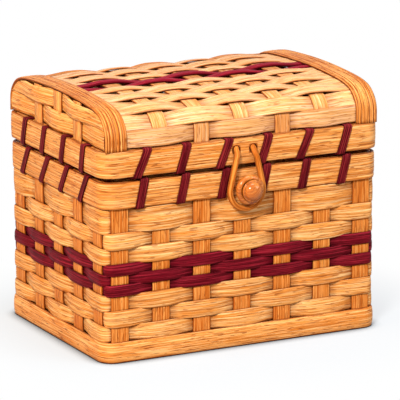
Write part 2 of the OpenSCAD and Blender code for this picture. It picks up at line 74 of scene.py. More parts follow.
SHIFT_Y = centre("cross_stake_4", 1)
STAKE_T = span("gable_stakes_left", 0)
STAKE_W = span("cross_stake_1", 0)
BASE_LOW, STAKE_TOP = ends("cross_stake_4", 2)
WALL_Y = (span("cross_stake_4", 1) - STAKE_T) / 2
WALL_X = (span("long_stake_3", 0) - STAKE_T) / 2
FRONT_X = [centre(f"cross_stake_{i}", 0) for i in range(1, 8)]
END_Y = [centre(f"long_stake_{j}", 1) - SHIFT_Y for j in range(1, 6)]
PITCH_X = FRONT_X[1] - FRONT_X[0]
PITCH_Y = END_Y[1] - END_Y[0]
ROW_Z = [centre(f"side_weaver_{k}", 2) for k in range(1, 10)]
RIM_N = span("body_rim_outer", 1) / 2 - WALL_Y
LID_RIM_N = span("lid_rim_outer", 1) / 2 - WALL_Y
RIM_Z = ends("body_rim_outer", 2)
LID_RIM_Z = ends("lid_rim_outer", 2)
FOOT_H = span("foot_band", 2)
FOOT_N = span("foot_band", 1) / 2 - WALL_Y
LID_STAKE_W = span("gable_stakes_left", 1) - 2 * PITCH_Y
BAND_X = ends("edge_band_right", 0)
LOOP_POS = np.array(frame["record"]["behaviour"]["joints"][1]["pos_m"]) * MM

# Sizes that several kinds of strip share. Names in _N are distances outwards from the stakes' middle,
# and LEVEL is how far out a row lies where it passes over a stake.
CLEAR = 0.05
WEAVER_T = 1.1
INNER_RIM_T = 1.6
FACE = STAKE_T / 2 + CLEAR
LEVEL = (STAKE_T + WEAVER_T) / 2 + CLEAR
INNER_RIM_N = -FACE - INNER_RIM_T
CORNER = 4.0
INNER_CORNER = 6.0
RIM_CORNER = 6.6
SIDE_SWELL = 1.45
LOOP_HOLE_X = 5.6
LOOP_HOLE_R = 2.6


# Meshes

# EDGE_SHADE is the width in mm of a strip's darker edge, partly stained cut edge and partly painted shade
# between strips.
EDGE_SHADE = 0.4
# GROOVE_SHADE paints shade into a strip's grooves, from the section's groove column.
GROOVE_SHADE = 0.5
GROOVE_STRAY = 0.25
GROOVE_DEPTHS = (0.4, 1.3)
GROOVE_WIDTH = 0.22
UV_SPREAD = 900


def make(name, verts, faces, uvs, tint, body, material):
    """A mesh piece from points in mm, faces, one uv for each face corner, and a tint for each point."""
    mesh = bpy.data.meshes.new(name)
    points = (np.asarray(verts, float) + (0, SHIFT_Y, 0)) / MM
    mesh.from_pydata(points.tolist(), [], faces)
    layer = mesh.uv_layers.new(name="UVMap")
    layer.data.foreach_set("uv", np.asarray(uvs, np.float32).ravel())
    colour = mesh.color_attributes.new("tint", "FLOAT_COLOR", "POINT")
    colour.data.foreach_set("color", np.asarray(tint, np.float32).ravel())
    mesh.polygons.foreach_set("use_smooth", [True] * len(mesh.polygons))
    mesh.materials.append(material)
    mesh.update()
    piece = bpy.data.objects.new(name, mesh)
    bpy.context.scene.collection.objects.link(piece)
    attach(piece, body)
    return piece


def unit(v):
    v = np.asarray(v, float)
    return v / np.maximum(np.linalg.norm(v, axis=-1, keepdims=True), 1e-9)


def clamp(value):
    return min(1.0, max(0.0, value))


def smooth(f):
    return f * f * (3 - 2 * f)


def section(width, thick, edge, grooves, depth, seed, crown=0.0, cols=10):
    """A strip's cross-section as points (across, out, groove): rounded edges, and an outer face with a
    crown and lengthwise grooves."""
    pick = random.Random(seed)
    half = width / 2
    edge = min(edge, half / 3)
    flat = half - edge
    rim = [half - edge * (1 - math.sin(math.radians(a))) for a in (30, 60)]
    xs = [-half] + [-x for x in reversed(rim)] + np.linspace(-flat, flat, cols).tolist() + rim + [half]
    cuts = [(-half + width * (g + 0.5 + pick.uniform(-GROOVE_STRAY, GROOVE_STRAY)) / grooves,
             depth * pick.uniform(*GROOVE_DEPTHS)) for g in range(grooves)]

    def fall(x):
        past = max(0.0, abs(x) - flat) / edge
        return min(0.42 * thick, 1.4 * edge) * (1 - math.sqrt(max(0.0, 1 - past * past)))

    def cut(x):
        return sum(d * math.exp(-((x - c) / (GROOVE_WIDTH * width / grooves)) ** 2) for c, d in cuts)

    def top(x):
        return thick / 2 + crown * (1 - (x / half) ** 2) - fall(x) - cut(x)

    outer = [(x, top(x), cut(x) / depth) for x in xs]
    inner = [(x, -thick / 2 + fall(x), 0.0) for x in (half, flat, 0, -flat, -half)]
    return np.array(outer + inner)


def sweep(name, path, across, profile, closed, body, material, tone=None, square=True, widths=None,
          roll=None, darkening=None):
    """Carries a cross-section along a path. The outward side is tangent x across.
    The tint holds the strip's tone; the darkening given for each point plus painted shade in the section's
    grooves; and how near the edge it is, for a darker edge that is partly stained and partly painted shade."""
    path = np.asarray(path, float)
    across = np.broadcast_to(np.asarray(across, float), path.shape)
    count, sides = len(path), len(profile)
    if closed:
        ahead = unit(np.roll(path, -1, 0) - np.roll(path, 1, 0))
    else:
        ahead = unit(np.gradient(path, axis=0))
    out = unit(np.cross(ahead, across))
    if square:
        across = unit(np.cross(out, ahead))
    if roll is not None:
        turn = np.radians(np.asarray(roll, float))[:, None]
        across, out = across * np.cos(turn) + out * np.sin(turn), out * np.cos(turn) - across * np.sin(turn)
    scale = np.ones(count) if widths is None else np.asarray(widths)
    verts = (path[:, None, :] + across[:, None, :] * (profile[None, :, 0] * scale[:, None])[:, :, None]
             + out[:, None, :] * profile[None, :, 1][:, :, None]).reshape(-1, 3)
    steps = np.linalg.norm(np.diff(np.vstack([path, path[:1]]), axis=0), axis=1)
    along = np.concatenate([[0], np.cumsum(steps)])
    rim = np.linalg.norm(np.diff(np.vstack([profile, profile[:1]])[:, :2], axis=0), axis=1)
    round_v = np.concatenate([[0], np.cumsum(rim)])
    off = (rng.uniform(0, UV_SPREAD), rng.uniform(0, UV_SPREAD))
    faces, uvs = [], []
    for i in range(count if closed else count - 1):
        j = (i + 1) % count
        for s in range(sides):
            e = (s + 1) % sides
            faces.append((i * sides + s, i * sides + e, j * sides + e, j * sides + s))
            uvs += [(along[i], round_v[s]), (along[i], round_v[s + 1]),
                    (along[i + 1], round_v[s + 1]), (along[i + 1], round_v[s])]
    if not closed:
        for ring, order in ((0, range(sides - 1, -1, -1)), (count - 1, range(sides))):
            faces.append(tuple(ring * sides + s for s in order))
            uvs += [(along[ring] + profile[s][1], round_v[s]) for s in order]
    uvs = (np.array(uvs) + off) / MM
    half = np.abs(profile[:, 0]).max()
    near = np.clip((np.abs(profile[:, 0]) - (half - EDGE_SHADE)) / EDGE_SHADE, 0, 1)
    deep = np.zeros(count) if darkening is None else np.asarray(darkening)
    tint = np.ones((count, sides, 4))
    tint[:, :, 0] = rng.uniform(0, 1) if tone is None else tone
    tint[:, :, 1] = np.clip(deep[:, None] + GROOVE_SHADE * profile[None, :, 2], 0, 1)
    tint[:, :, 2] = near[None, :]
    return make(name, verts, faces, uvs, tint.reshape(-1, 4), body, material)


def join(pieces, *nodes, slot):
    """Makes one piece of several, standing for CAD nodes."""
    if len(pieces) > 1:
        bpy.ops.object.select_all(action="DESELECT")
        for p in pieces:
            p.select_set(True)
        bpy.context.view_layer.objects.active = pieces[0]
        bpy.ops.object.join()
    piece = pieces[0]
    piece.name = nodes[0] + "_reed"
    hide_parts(*nodes)


# Walls: t walks round the chest from the front left corner, n points outwards

SIDE = [2 * WALL_X, 2 * WALL_Y, 2 * WALL_X, 2 * WALL_Y]
START = [0, SIDE[0], SIDE[0] + SIDE[1], 2 * SIDE[0] + SIDE[1]]
WALK = 2 * (SIDE[0] + SIDE[1])
CORNERS = np.array([(-WALL_X, -WALL_Y), (WALL_X, -WALL_Y), (WALL_X, WALL_Y), (-WALL_X, WALL_Y)])
ALONG = np.array([(1, 0), (0, 1), (-1, 0), (0, -1)])
OUT = np.array([(0, -1), (1, 0), (0, 1), (-1, 0)])
STAKE_TS = ([WALL_X + x for x in FRONT_X] + [START[1] + WALL_Y + y for y in END_Y]
            + [START[2] + WALL_X + x for x in FRONT_X] + [START[3] + WALL_Y + y for y in END_Y])
SIDE_STAKES = (len(FRONT_X), len(END_Y)) * 2
BEND_STEPS = 6
STRAIGHT_STEPS = 8
TANGENT_STEP = 0.2
WAVE_STEPS = 14


def wall(t, n, a):
    """A point (x, y) on the wall, its corners rounded over a length a each way."""
    t %= WALK
    k = max(i for i in range(4) if t >= START[i])
    u = t - START[k]
    left = SIDE[k] - u
    if u < a or left < a:
        turn = 45 + 45 * u / a if u < a else 45 - 45 * left / a
        k = k if u < a else (k + 1) % 4
        turn = math.radians(turn)
        middle = CORNERS[k] + (ALONG[k] - OUT[k]) * a
        return middle + (a + n) * (OUT[k] * math.sin(turn) - ALONG[k] * math.cos(turn))
    return CORNERS[k] + ALONG[k] * u + OUT[k] * n


def wall_along(t):
    """The direction of the walk at t."""
    return unit(wall(t + TANGENT_STEP, 0, INNER_CORNER) - wall(t - TANGENT_STEP, 0, INNER_CORNER))


def corner_ts(a):
    """Places round the wall, from the back: close at the corners, some along each straight side."""
    ts = []
    bend = np.linspace(0, 1, BEND_STEPS + 1)
    for start, side in zip(START, SIDE):
        ts += [start + a * f for f in bend]
        ts += [start + a + (side - 2 * a) * f for f in np.linspace(0, 1, STRAIGHT_STEPS + 2)[1:-1]]
        ts += [start + side - a + a * f for f in bend[:-1]]
    middle = len(ts) * 5 // 8
    return ts[middle:] + ts[:middle]


def wave(knots, hold=0.08):
    """Points (place, level) along a strip that eases from each knot (place, level) to the next."""
    points = []
    for (start, level), (end, nxt) in zip(knots, knots[1:]):
        for f in np.arange(WAVE_STEPS) / WAVE_STEPS:
            ease = smooth(clamp((f - hold) / (1 - 2 * hold)))
            points.append((start + (end - start) * f, level + (nxt - level) * ease))
    return points + [knots[-1]]


def under(levels):
    """Painted shade for each point of a strip, from 0 to 0.7: darker the deeper it lies under its neighbours.
    """
    return np.clip(-0.2 - 0.5 * np.asarray(levels), 0, 0.7)


def swell(levels, top, seed, size):
    """Width factors: a strip is widest where it passes over a stake, and varies a little on its way."""
    stops = 40
    drift = np.random.default_rng(seed).uniform(-0.02, 0.02, stops)
    drift = np.interp(np.arange(len(levels)), np.linspace(0, len(levels), stops), drift)
    return 1 + size * np.maximum(np.asarray(levels) / top, -0.3) + drift


def wander(seed, size, length, turns):
    """A slow, repeatable drift along a strip."""
    pick = random.Random(seed)
    parts = [(pick.uniform(0, 6.28), pick.uniform(0.5, 1) / k, k) for k in range(1, turns)]
    return lambda s: size * sum(a * math.sin(2 * math.pi * k * s / length + p) for p, a, k in parts) / 2


def row_section(width, thick, dyed, seed):
    return section(width, thick, edge=0.6, crown=0.3, grooves=3 if dyed else 6, depth=0.06, seed=seed)


# Materials

# Ambient occlusion within CREVICE_REACH paints shade into crevices and gaps between strips.
CREVICE_REACH = 0.002
CREVICE_SHADE = (0.66, 0.25, 0.0, 0.92)
CREVICE_SAMPLES = 6
CREVICE_SHADE_TINT = (0.5, 0.35, 0.3)
# HOLLOW_SHADE_TINT tints the dark colour for painted shade under strips and in grooves.
HOLLOW_SHADE_TINT = (0.7, 0.5, 0.4)
# BRIGHT_TINT makes the pale colour of pale fibres and painted highlights.
BRIGHT_TINT = (1.06, 1.24, 1.8)
BUMP_DEPTH = 0.0004


def new_tree(name):
    mat = bpy.data.materials.new(name)
    mat.use_nodes = True
    return mat, mat.node_tree


def feed(tree, node, inputs):
    """Gives each input of a node a value, or the output that feeds it."""
    for socket, value in inputs.items():
        if isinstance(value, bpy.types.NodeSocket):
            tree.links.new(value, node.inputs[socket])
        else:
            node.inputs[socket].default_value = value


def add_node(tree, kind, inputs=None, **settings):
    made = tree.nodes.new(kind)
    for key, value in settings.items():
        setattr(made, key, value)
    feed(tree, made, inputs or {})
    return made


def tinted(colour, tint):
    return tuple(min(1.0, c * t) for c, t in zip(colour, tint))


def reed(name, light, deep, dark, streak=0.65, pore=0.55, rough=0.42, coat=0.0, bump=0.6, spec=0.07,
         tone=0.45, coarse=1.0, glint=0.95, bright=None, reach=CREVICE_REACH, gloss=0.3):
    """Flat or round reed: fibres that run along the strip, dark streaks and pores, slow colour drift, pale
    streaks that are partly pale fibre and partly painted highlights, darker edges that are partly stained and
    partly painted shade, painted shade in hollows, grooves and crevices, and a satin varnish."""
    mat, tree = new_tree(name)
    uv = add_node(tree, "ShaderNodeUVMap", uv_map="UVMap")
    tint = add_node(tree, "ShaderNodeVertexColor", layer_name="tint")
    parts = add_node(tree, "ShaderNodeSeparateColor", {"Color": tint.outputs["Color"]}).outputs

    def noise(along, across, detail, roughness=0.5, distortion=0.0):
        """Noise with so many waves in a metre along the strip and across it."""
        scaled = add_node(tree, "ShaderNodeVectorMath", {0: uv.outputs["UV"], 1: (along, across, 1)},
                          operation="MULTIPLY")
        inputs = {"Vector": scaled.outputs["Vector"], "Scale": 1.0, "Detail": detail,
                  "Roughness": roughness, "Distortion": distortion}
        return add_node(tree, "ShaderNodeTexNoise", inputs, noise_dimensions="2D").outputs["Fac"]

    def spread(source, low, high, start=0.0, end=1.0):
        inputs = {"Value": source, "From Min": low, "From Max": high, "To Min": start, "To Max": end}
        return add_node(tree, "ShaderNodeMapRange", inputs, clamp=True).outputs["Result"]

    def mix(factor, a, b, kind="MIX"):
        a, b = [(*c, 1) if isinstance(c, tuple) else c for c in (a, b)]
        return add_node(tree, "ShaderNodeMix", {0: factor, 6: a, 7: b}, data_type="RGBA",
                        blend_type=kind).outputs[2]

    def times(a, b):
        return add_node(tree, "ShaderNodeMath", {0: a, 1: b}, operation="MULTIPLY", use_clamp=True).outputs[0]

    band = noise(10, 330 / coarse, 2.0)
    lines = noise(20, 1400 / coarse, 3.0, 0.6, 0.2)
    fibre = noise(36, 2400 / coarse, 3.0, 0.6)
    pores = noise(110, 1300 / coarse, 1.0, 0.5, 0.4)
    cloud = noise(22, 70, 2.0)

    shade = tuple(0.5 * d + 0.5 * k for d, k in zip(deep, dark))
    if bright is None:
        bright = tinted(light, BRIGHT_TINT)
    base = mix(spread(band, 0.36, 0.66), light, deep)
    toned = mix(times(parts["Red"], tone), base, deep)
    clouded = mix(spread(cloud, 0.42, 0.75, 0.0, 0.5), toned, deep)
    streaked = mix(times(spread(lines, 0.465, 0.41), streak), clouded, shade)
    # Pale streaks along the grain lines: partly pale fibre, partly painted highlights.
    glints = mix(spread(lines, 0.535, 0.60, 0.0, glint), streaked, bright)
    fibres = mix(spread(fibre, 0.47, 0.41, 0.0, streak), glints, shade)
    pale = mix(spread(fibre, 0.56, 0.63, 0.0, 0.65 * glint), fibres, bright)
    holes = spread(pores, 0.36, 0.31)
    pored = mix(times(holes, pore), pale, dark)
    # Darker edges: partly stained cut edges, partly painted shade between strips.
    edge_shaded = mix(times(parts["Blue"], 0.75), pored, dark)
    # Green channel: painted shade under other strips and in grooves, plus other darkening given with the
    # strip.
    hollow_shaded = mix(times(parts["Green"], 0.85), edge_shaded, tinted(dark, HOLLOW_SHADE_TINT))
    # Painted shade: ambient occlusion darkens the colour in crevices and gaps.
    near = add_node(tree, "ShaderNodeAmbientOcclusion", {"Distance": reach}, samples=CREVICE_SAMPLES)
    crevice = spread(near.outputs["AO"], *CREVICE_SHADE)
    ridges = mix(0.4, fibre, lines)
    relief = add_node(tree, "ShaderNodeBump", {"Strength": bump, "Distance": BUMP_DEPTH,
                                               "Height": mix(0.6, ridges, holes, "SUBTRACT")})
    feed(tree, tree.nodes["Principled BSDF"], {
        "Base Color": mix(crevice, hollow_shaded, tinted(dark, CREVICE_SHADE_TINT)),
        "Roughness": spread(fibre, 0.3, 0.7, rough - 0.08, rough + 0.12),
        "Normal": relief.outputs["Normal"],
        "Specular IOR Level": spec,
        "Coat Weight": coat,
        "Coat Roughness": gloss})
    return mat


NATURAL = reed("natural_reed", (0.97, 0.59, 0.222), (0.86, 0.345, 0.069), (0.27, 0.050, 0.005))
LID_REED = reed("lid_reed", (0.95, 0.665, 0.390), (0.88, 0.50, 0.185), (0.33, 0.075, 0.010),
                streak=0.62, glint=0.65, bright=(0.96, 0.695, 0.55))
LID_STAKE = reed("lid_stake_reed", (0.96, 0.59, 0.260), (0.87, 0.39, 0.110), (0.27, 0.050, 0.005),
                 streak=0.5, glint=0.6)
STAKE = reed("stake_reed", (0.82, 0.34, 0.073), (0.60, 0.162, 0.020), (0.22, 0.040, 0.004),
             tone=0.8, streak=0.5)
RIM = reed("rim_reed", (0.95, 0.51, 0.165), (0.79, 0.29, 0.050), (0.24, 0.045, 0.005),
           pore=0.65, coat=0.03, spec=0.1, reach=0.0011)
BAND = reed("band_reed", (0.91, 0.43, 0.112), (0.71, 0.220, 0.030), (0.20, 0.036, 0.004),
            streak=0.75, pore=0.65, coat=0.06, spec=0.08)
BURGUNDY = reed("burgundy_reed", (0.235, 0.005, 0.024), (0.115, 0.002, 0.010), (0.035, 0.0008, 0.003),
                pore=0.3, rough=0.5, spec=0.05, tone=0.8, bright=(0.33, 0.020, 0.046))
LID_BURGUNDY = reed("lid_burgundy_reed", (0.36, 0.006, 0.036), (0.21, 0.003, 0.017), (0.06, 0.001, 0.004),
                    pore=0.3, rough=0.5, spec=0.05, bright=(0.42, 0.022, 0.055))
LASH = reed("lashing_reed", (0.165, 0.003, 0.015), (0.078, 0.0012, 0.006), (0.025, 0.0006, 0.002),
            pore=0.25, rough=0.55, spec=0.05, bright=(0.31, 0.030, 0.040), reach=0.001)
TURNED = reed("turned_wood", (0.66, 0.225, 0.034), (0.42, 0.105, 0.011), (0.16, 0.03, 0.003),
              streak=0.5, pore=0.4, rough=0.28, coat=0.6, bump=0.25, coarse=1.3, glint=0.75, gloss=0.16)
ROUND = reed("round_reed", (0.74, 0.27, 0.045), (0.54, 0.15, 0.017), (0.18, 0.035, 0.004),
             pore=0.4, rough=0.34)


# Side rows. BURGUNDY_ROWS gives the tone of each dyed row, and BACK_STAKE is where a row's ends meet.

BURGUNDY_ROWS = {4: 1.0, 5: 0.45, 6: 0.1}
BACK_STAKE = 15
SWAY = 0.3
SIDE_HOLD = 0.16
SIDE_DRIFT = 0.22
SIDE_TIP = 4.0


def over(i, k):
    """Whether row k passes outside stake i."""
    return (i + k) % 2 == 0


def side_weaver(k):
    """Row k, over and under the stakes in turn, with a slight drift in height and tip."""
    node = f"side_weaver_{k}"
    dyed = k in BURGUNDY_ROWS
    widen, swelling = (0.8, 0.04) if dyed else (0.6, 0.07)
    level = (LEVEL - SWAY) * SIDE_SWELL
    turns = list(enumerate(STAKE_TS))
    turns = turns[BACK_STAKE:] + [(i, t + WALK) for i, t in turns[:BACK_STAKE + 1]]
    places = wave([(t, level if over(i, k) else -level) for i, t in turns], hold=SIDE_HOLD)[:-1]
    levels = [n for t, n in places]
    profile = row_section(span(node, 2) + widen, WEAVER_T, dyed, k)
    drift, tip = wander(140 + k, SIDE_DRIFT, WALK, 14), wander(340 + k, SIDE_TIP, WALK, 16)
    path = [(*wall(t, n, CORNER), ROW_Z[k - 1] + drift(t)) for t, n in places]
    piece = sweep(node + "_reed", path, (0, 0, 1), profile, True, "basket", BURGUNDY if dyed else NATURAL,
                  tone=BURGUNDY_ROWS.get(k), widths=swell(levels, level, k, swelling),
                  roll=[tip(t) for t, n in places], darkening=under(levels))
    join([piece], node, slot="burgundy_reed" if dyed else "natural_reed")


for k in range(1, 10):
    side_weaver(k)


# Stakes and base

LEG_LOW = 4.0
LEG_TOP = RIM_Z[0] + 2
# LEG_SHADE scales the painted shade on a stake's leg where a row passes outside it.
LEG_SHADE = 3
BASE_BEND = 2.0
BASE_STEP = (STAKE_T + CLEAR) / 2
BASE_Z = BASE_LOW + BASE_STEP + STAKE_T / 2
STRIP_Y = [END_Y[0] + PITCH_Y / 2 * j for j in range(9)]
FILLER_W = 11
STAKE_GROOVES = 0.4
CROSS_TONES = (0.65, 0.0, 0.75, 0.2, 0.5, 0.1, 0.6)
LONG_TONE = 0.1


def sway(i):
    """Heights up a leg of stake i and how far it bows out there: outwards where a row passes inside it."""
    knots = [(FOOT_H * 0.6, 0.0)] + [(z, -SWAY if over(i, k + 1) else SWAY) for k, z in enumerate(ROW_Z)]
    knots.append((LEG_TOP, 0.0))
    points = []
    for (z0, n0), (z1, n1) in zip(knots, knots[1:]):
        points += [(z0 + (z1 - z0) * f, n0 + (n1 - n0) * smooth(f)) for f in (0, 0.2, 0.4, 0.6, 0.8)]
    return [(LEG_LOW, 0.0)] + points + [(LEG_TOP, 0.0), (STAKE_TOP, 0.0)]


def upturned(levels, half, first, second):
    """A stake's path in a plane, down one leg, along the base's levels and up the other leg, and the painted
    shade of each point. The legs are the stakes numbered first and second in STAKE_TS."""
    turns = np.radians((0, 22.5, 45, 67.5, 90))
    low, high = levels[0][1] + BASE_BEND, levels[-1][1] + BASE_BEND
    path = [(-half - n, z) for z, n in reversed(sway(first))]
    path += [(-half + BASE_BEND - BASE_BEND * math.cos(a), low - BASE_BEND * math.sin(a)) for a in turns]
    path += levels
    path += [(half - BASE_BEND + BASE_BEND * math.sin(a), high - BASE_BEND * math.cos(a)) for a in turns]
    path += [(half + n, z) for z, n in sway(second)]
    legs = [under(np.array([n for z, n in sway(s)]) * LEG_SHADE) for s in (first, second)]
    depth = np.concatenate([legs[0][::-1], np.zeros(2 * len(turns) + len(levels)), legs[1]])
    return path, depth


def base_levels(places, half, first):
    """Points (place, z) of a strip in the base. It passes over (1) or under (-1) the first strip that it
    meets, and then changes sides at each."""
    heights = [BASE_Z + first * (-1) ** i * BASE_STEP for i in range(len(places))]
    return [(p + step, z) for p, z in zip(places, heights) for step in (-half, half)]


stake_profile = section(STAKE_W, STAKE_T, edge=0.4, crown=0.12, grooves=7, depth=0.09, cols=16, seed=5)
# The stakes get fainter painted shade in their grooves.
stake_profile[:, 2] *= STAKE_GROOVES


def stake(node, path, depth, across, tone):
    piece = sweep(node + "_reed", path, across, stake_profile, False, "basket", STAKE, tone=tone, darkening=depth)
    join([piece], node, slot="natural_reed")


for i in range(1, 8):
    levels = base_levels(STRIP_Y, STAKE_W / 2 - 0.1, 1 if i % 2 == 1 else -1)
    path, depth = upturned(levels, WALL_Y, i - 1, 19 - i)
    path = [(FRONT_X[i - 1], y, z) for y, z in path]
    stake(f"cross_stake_{i}", path, depth, (1, 0, 0), CROSS_TONES[i - 1])
for j in range(1, 6):
    levels = base_levels(FRONT_X, STAKE_W / 2 + 0.3, -1)
    path, depth = upturned(levels, WALL_X, 24 - j, 6 + j)
    path = [(x, END_Y[j - 1], z) for x, z in path]
    stake(f"long_stake_{j}", path, depth, (0, -1, 0), LONG_TONE)
fillers = []
filler_profile = section(FILLER_W, STAKE_T, edge=0.4, grooves=6, depth=0.06, seed=6)
for j in (2, 4, 6, 8):
    path = [(x, STRIP_Y[j - 1], z) for x, z in base_levels(FRONT_X, STAKE_W / 2 + 0.3, 1)]
    fillers.append(sweep(f"filler_{j}", path, (0, -1, 0), filler_profile, False, "basket", STAKE))
join(fillers, "base_fillers", slot="natural_reed")


# Rims and foot band

SEAM_EASE = 0.4
SEAM_SHADE = 2
BORE_DEPTH = 0.02
BORE_SHARP = 40
FOOT_ROUND = 1.25
FOOT_GROOVE = 0.1
# FOOT_DARKENING darkens the whole foot band evenly.
FOOT_DARKENING = 0.07


def rim_piece(node, n0, n1, z, body, a, seam, holes=()):
    """A rim strip. Its edge at the seam (1 for the upper edge, -1 for the lower) is painted dark, as shade in
    the seam.
    """
    z = (z[0] + max(0, -seam) * SEAM_EASE, z[1] - max(0, seam) * SEAM_EASE)
    half = (z[1] - z[0]) / 2
    profile = section(2 * half, n1 - n0, edge=0.5, crown=0.25, grooves=8, depth=0.2, cols=26, seed=len(node))
    # Painted shade: the edge that faces the seam is darkened.
    profile[:, 2] += SEAM_SHADE * np.clip((profile[:, 0] * seam - (half - 0.3)) / 0.2, 0, 1)
    ts = corner_ts(a)
    first = ts[0]
    for x in holes:
        ts += [WALL_X + x + f * LOOP_HOLE_R for f in (-2, -1.2, 0, 1.2, 2)]
    ts = sorted(ts, key=lambda t: (t - first) % WALK)
    path = [(*wall(t, (n0 + n1) / 2, a), (z[0] + z[1]) / 2) for t in ts]
    piece = sweep(node + "_reed", path, (0, 0, 1), profile, True, body, RIM)
    for x in holes:
        bore(piece, x)
    join([piece], node, slot="rim_reed")


def bore(piece, x):
    """Cuts one of the clasp loop's holes from the front of the lid rim."""
    place = (x / MM, (SHIFT_Y - WALL_Y) / MM, LOOP_POS[2] / MM)
    bpy.ops.mesh.primitive_cylinder_add(vertices=28, radius=LOOP_HOLE_R / MM, depth=BORE_DEPTH,
                                        rotation=(math.pi / 2, 0, 0), location=place)
    cutter = bpy.context.object
    cut = piece.modifiers.new("bore", "BOOLEAN")
    cut.operation = "DIFFERENCE"
    cut.solver = "EXACT"
    cut.object = cutter
    done = bpy.data.meshes.new_from_object(piece.evaluated_get(bpy.context.evaluated_depsgraph_get()))
    piece.modifiers.clear()
    piece.data = done
    done.set_sharp_from_angle(angle=math.radians(BORE_SHARP))
    bpy.data.objects.remove(cutter)


rim_piece("body_rim_outer", FACE, RIM_N, RIM_Z, "basket", RIM_CORNER, 1)
rim_piece("lid_rim_outer", FACE, LID_RIM_N, LID_RIM_Z, "lid", RIM_CORNER, -1, (-LOOP_HOLE_X, LOOP_HOLE_X))
rim_piece("body_rim_inner", INNER_RIM_N, -FACE, RIM_Z, "basket", CORNER, 1)
rim_piece("lid_rim_inner", INNER_RIM_N, -FACE, LID_RIM_Z, "lid", CORNER, -1)


def foot_band():
    """The band round the foot: half round, with fine grooves, and painted shade towards its lower edge,
    darkest along the edge by the floor as a painted shadow.
    """
    half, thick = FOOT_H / 2, FOOT_N - FACE
    profile = []
    for a in np.linspace(-1, 1, 19):
        lean = a * math.pi / 2
        groove = FOOT_GROOVE * math.exp(-((a * 3 + 1.3) % 1.0 - 0.5) ** 2 / 0.02)
        out = thick / 2 - FOOT_ROUND * (1 - math.cos(lean)) ** 1.2 - groove
        # Painted shade: darker towards the lower edge, and darkest at the edge by the floor, a painted shadow.
        dark = 2 * clamp((-a - 0.62) / 0.12) + 0.25 * clamp(0.3 - a)
        profile.append((half * math.sin(lean), out, dark))
    profile += [(half, -thick / 2, 0), (0, -thick / 2, 0), (-half, -thick / 2, 2)]
    path = [(*wall(t, FACE + thick / 2, RIM_CORNER), half) for t in corner_ts(RIM_CORNER)]
    piece = sweep("foot_band_reed", path, (0, 0, 1), np.array(profile), True, "basket", RIM,
                  darkening=np.full(len(path), FOOT_DARKENING))
    join([piece], "foot_band", slot="rim_reed")


foot_band()


# Lashings

LASH_W = 5.6
LASH_T = 0.7
LASH_GAP = 0.06 + LASH_T / 2
LASH_PROUD = 0.12
LASH_SOFT = 1.0
LASH_STRAY = 0.5
LASH_BOW = 0.1
GAP_TS = []
for k, count in enumerate(SIDE_STAKES):
    side_ts = STAKE_TS[sum(SIDE_STAKES[:k]):][:count]
    GAP_TS += [(a + b) / 2 for a, b in zip(side_ts, side_ts[1:])]


def lashing(node, out_n, z, body, drift, leans):
    """One strip that winds round a pair of rims, rounded where it turns over their edges. The two leans are
    for the long sides and the ends, and drift is how far it goes on under the rims."""
    soft = LASH_SOFT
    outer, inner = out_n + LASH_GAP + LASH_PROUD, INNER_RIM_N - LASH_GAP - CLEAR
    low, high = z[0] - LASH_GAP, z[1] + LASH_GAP
    rise = high - low - 2 * soft
    path, across = [], []

    def add(t, n, h):
        path.append((*wall(t, n, INNER_CORNER if n < 0 else CORNER), h))
        across.append((*(-wall_along(t)), 0))

    pick = random.Random(len(node))
    slants = [leans[k % 2] + pick.uniform(-LASH_STRAY, LASH_STRAY) for k, count in enumerate(SIDE_STAKES)
              for turn in range(count - 1)]
    following = GAP_TS[1:] + [GAP_TS[0] + WALK]
    for gap, nxt, lean, next_lean in zip(GAP_TS, following, slants, slants[1:] + slants[:1]):
        add(gap - lean, outer - soft, low)
        add(gap - lean + 0.02, outer - 0.3 * soft, low + 0.09 * soft)
        add(gap - lean + 0.1, outer, low + soft)
        for f in np.linspace(0, 1, 7)[1:-1]:
            add(gap - lean + 2 * lean * f, outer + LASH_BOW * math.sin(math.pi * f), low + soft + rise * f)
        add(gap + lean - 0.1, outer, high - soft)
        add(gap + lean - 0.02, outer - 0.3 * soft, high - 0.09 * soft)
        add(gap + lean, outer - soft, high)
        start, end = gap + lean + 0.7, nxt - next_lean - drift
        add(start, inner + soft, high)
        add(start + 0.05, inner + 0.3 * soft, high - 0.1 * soft)
        add(start + 0.1, inner, high - soft)
        steps = 18 if nxt - gap > 1.2 * max(PITCH_X, PITCH_Y) else 5
        for f in np.linspace(0, 1, steps)[1:-1]:
            add(start + (end - start) * f, inner, high - soft - rise * f)
        add(end - 0.1, inner, low + soft)
        add(end - 0.05, inner + 0.3 * soft, low + 0.1 * soft)
        add(end, inner + soft, low)
    profile = section(LASH_W, LASH_T, edge=0.4, crown=0.12, grooves=4, depth=0.05, cols=8, seed=9)
    piece = sweep(node + "_reed", path, across, profile, True, body, LASH, square=False)
    join([piece], node, slot="burgundy_reed")


lashing("body_rim_lashing", RIM_N, RIM_Z, "basket", 0.7, (1.8, 4.4))
lashing("lid_rim_lashing", LID_RIM_N, LID_RIM_Z, "lid", 6.5, (2.8, 1.7))


# Lid. Rows are numbered from the front. SLOPES holds the front half's, in degrees.

SLOPES = [90, 48, 14, 5, 3.5, 2.5, 1.5, 0]
HALF_ROWS = len(SLOPES)
DYED_PITCH = span("lid_weaver_8", 1) + 0.6
LID_PITCH = (WALL_Y - DYED_PITCH) / sum(math.cos(math.radians(s)) for s in SLOPES[1:7])
PITCHES = [LID_PITCH] * (HALF_ROWS - 1) + [DYED_PITCH]
LID_END = span("lid_weaver_1", 0) / 2
STAKE_FOOT = 0.5
PROFILE = [np.array((-WALL_Y, box("lid_weaver_1")[0][2] - 0.3))]
for slope, pitch in zip(np.radians(SLOPES), PITCHES):
    PROFILE.append(PROFILE[-1] + pitch * np.array((math.cos(slope), math.sin(slope))))


